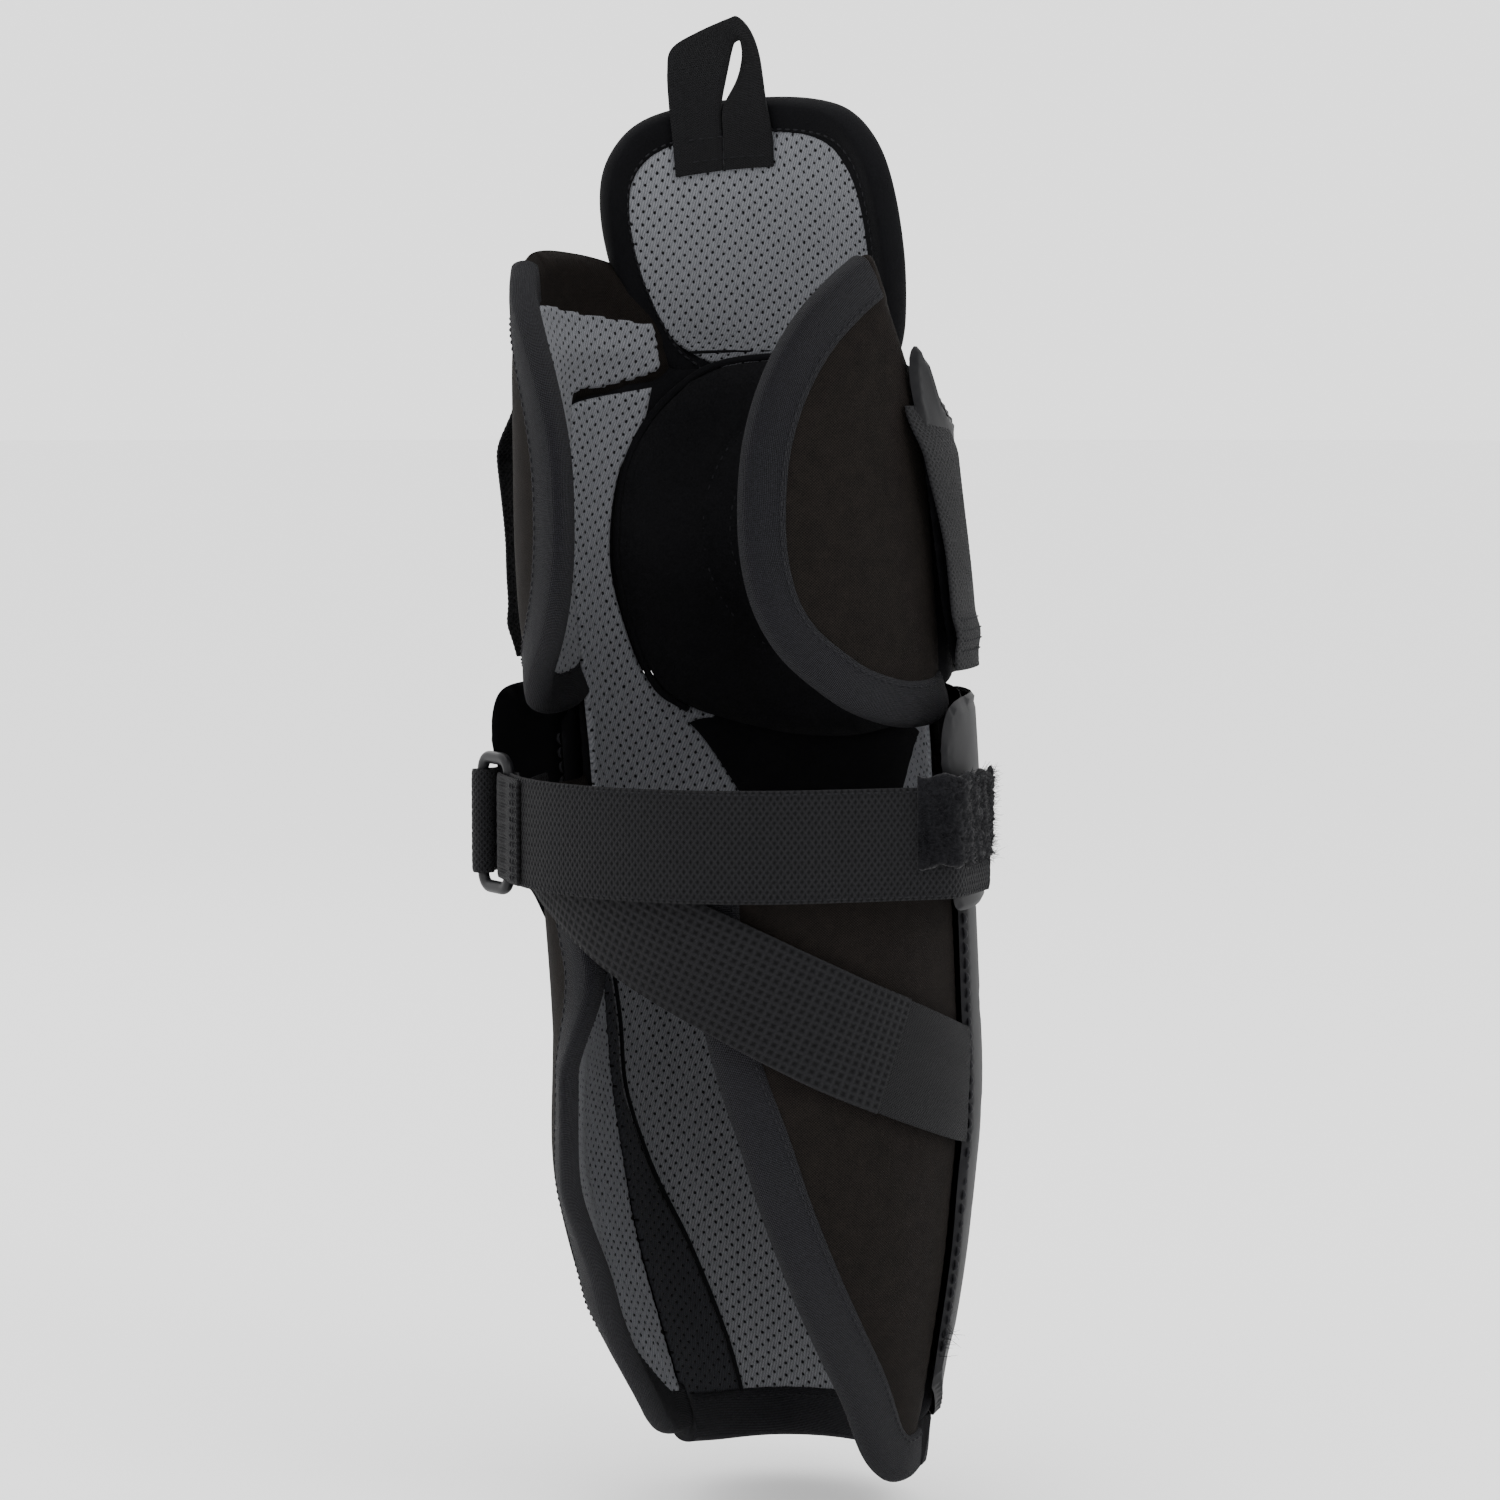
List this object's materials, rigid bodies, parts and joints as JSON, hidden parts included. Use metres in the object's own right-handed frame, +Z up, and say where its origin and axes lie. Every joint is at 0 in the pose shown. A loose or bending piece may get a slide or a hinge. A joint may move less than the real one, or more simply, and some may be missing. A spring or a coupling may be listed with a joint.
{
  "type": "hockey shin guard",
  "caption": "Player's shin guard: plastic shin shell and knee cap on a padded liner, folding wings, hinged thigh flap, pull loop, elastic straps.",
  "frame": {"origin": "on the leg's axis, level with the middle of the knee cap", "axes": "+Z up the leg, +Y to the calf (open back), -Y to the plastic shells, +X to the side of the strap ring"},
  "size_m": [0.1863, 0.177, 0.5125],
  "materials": {
    "shell_plastic": "injection-moulded, smooth with light scuffs",
    "rivet_metal": "black painted rivet head",
    "foam": "closed-cell foam with a black skin",
    "brushed_fabric": "brushed black lining",
    "light_mesh": "grey spacer mesh with small slanted holes",
    "dark_mesh": "dark grey open mesh",
    "knit_binding": "ribbed black knit edge binding",
    "canvas": "brownish-black woven canvas",
    "webbing": "grey-black flat webbing",
    "tape": "black woven tape",
    "ring_plastic": "smooth black acetal",
    "elastic": "black knitted elastic",
    "loop_pile": "brushed loop pile",
    "hook_tape": "black hook tape"
  },
  "bodies": {
    "shin_body": {"shin_shell": "shell_plastic", "shin_ridge": "shell_plastic", "shin_liner_foam": "foam", "lower_mesh": "light_mesh", "gusset_mesh_left": "dark_mesh", "gusset_mesh_right": "dark_mesh", "bottom_binding": "knit_binding", "ear_left": "shell_plastic", "ear_right": "shell_plastic", "ear_rivets": "rivet_metal", "ear_hook_patch": "hook_tape", "ring_anchor": "webbing", "lower_strap_root": "elastic"},
    "knee_body": {"knee_cap_shell": "shell_plastic", "cap_keeper_left": "webbing", "cap_keeper_right": "webbing", "knee_liner_foam": "foam", "knee_top_band": "brushed_fabric", "knee_mesh_left": "light_mesh", "knee_mesh_right": "light_mesh", "knee_pad": "brushed_fabric", "knee_ring": "foam"},
    "knee_wing_left": {"knee_wing_left_canvas": "canvas", "knee_wing_left_foam": "foam", "knee_wing_left_mesh": "light_mesh", "knee_wing_left_binding": "knit_binding"},
    "knee_wing_right": {"knee_wing_right_canvas": "canvas", "knee_wing_right_foam": "foam", "knee_wing_right_mesh": "light_mesh", "knee_wing_right_binding": "knit_binding"},
    "calf_wing_left": {"calf_wing_left_canvas": "canvas", "calf_wing_left_foam": "foam", "calf_wing_left_mesh": "light_mesh", "calf_wing_left_binding": "knit_binding"},
    "calf_wing_right": {"calf_wing_right_canvas": "canvas", "calf_wing_right_foam": "foam", "calf_wing_right_mesh": "light_mesh", "calf_wing_right_binding": "knit_binding"},
    "thigh_guard": {"thigh_cover": "brushed_fabric", "thigh_foam": "foam", "thigh_mesh": "light_mesh", "thigh_binding": "knit_binding", "loop_tails": "tape"},
    "loop_body": {"pull_loop": "tape"},
    "ring_body": {"strap_ring": "ring_plastic"},
    "upper_strap_body": {"upper_strap": "elastic", "strap_fuzzy_patch": "loop_pile", "strap_fold": "elastic"},
    "lower_strap_body": {"lower_strap": "elastic", "lower_strap_tab": "hook_tape"}
  },
  "joints": [
    {"name": "knee_hinge", "type": "hinge", "parent": "shin_body", "child": "knee_body", "pos_m": [0, -0.075, -0.045], "axis": [1, 0, 0], "range_deg": [0, 12], "stiffness_Nm_per_rad": 3},
    {"name": "thigh_hinge", "type": "hinge", "parent": "knee_body", "child": "thigh_guard", "pos_m": [0, -0.062, 0.076], "axis": [1, 0, 0], "range_deg": [-15, 10], "stiffness_Nm_per_rad": 1},
    {"name": "loop_hinge", "type": "hinge", "parent": "thigh_guard", "child": "loop_body", "pos_m": [0.014, -0.0217, 0.1578], "axis": [1, 0, 0], "range_deg": [-45, 45], "stiffness_Nm_per_rad": 0.02},
    {"name": "knee_wing_left_hinge", "type": "hinge", "parent": "knee_body", "child": "knee_wing_left", "pos_m": [0.0698, -0.0005, 0], "axis": [-0.0174, 0.1078, 0.994], "range_deg": [-15, 8], "stiffness_Nm_per_rad": 0.5},
    {"name": "knee_wing_right_hinge", "type": "hinge", "parent": "knee_body", "child": "knee_wing_right", "pos_m": [-0.0698, -0.0005, 0], "axis": [0.0174, 0.1078, 0.994], "range_deg": [-8, 15], "stiffness_Nm_per_rad": 0.5},
    {"name": "calf_wing_left_hinge", "type": "hinge", "parent": "shin_body", "child": "calf_wing_left", "pos_m": [0.0663, -0.0199, -0.1645], "axis": [0.051, 0.1206, 0.9914], "range_deg": [0, 12], "stiffness_Nm_per_rad": 0.5},
    {"name": "calf_wing_right_hinge", "type": "hinge", "parent": "shin_body", "child": "calf_wing_right", "pos_m": [-0.0663, -0.0199, -0.1645], "axis": [-0.051, 0.1206, 0.9914], "range_deg": [-12, 0], "stiffness_Nm_per_rad": 0.5},
    {"name": "ring_hinge", "type": "hinge", "parent": "shin_body", "child": "ring_body", "pos_m": [0.0895, 0.025, -0.093], "axis": [0, 0, -1], "range_deg": [0, 20]},
    {"name": "upper_strap_hinge", "type": "hinge", "parent": "ring_body", "child": "upper_strap_body", "pos_m": [0.074, 0.0345, -0.093], "axis": [0, 0, -1], "range_deg": [0, 100]},
    {"name": "lower_strap_hinge", "type": "hinge", "parent": "shin_body", "child": "lower_strap_body", "pos_m": [0.074, 0.0345, -0.093], "axis": [0, 0, -1], "range_deg": [0, 100]}
  ],
  "couplings": [
    {"joint": "lower_strap_hinge", "follows": "upper_strap_hinge", "ratio": 1}
  ]
}
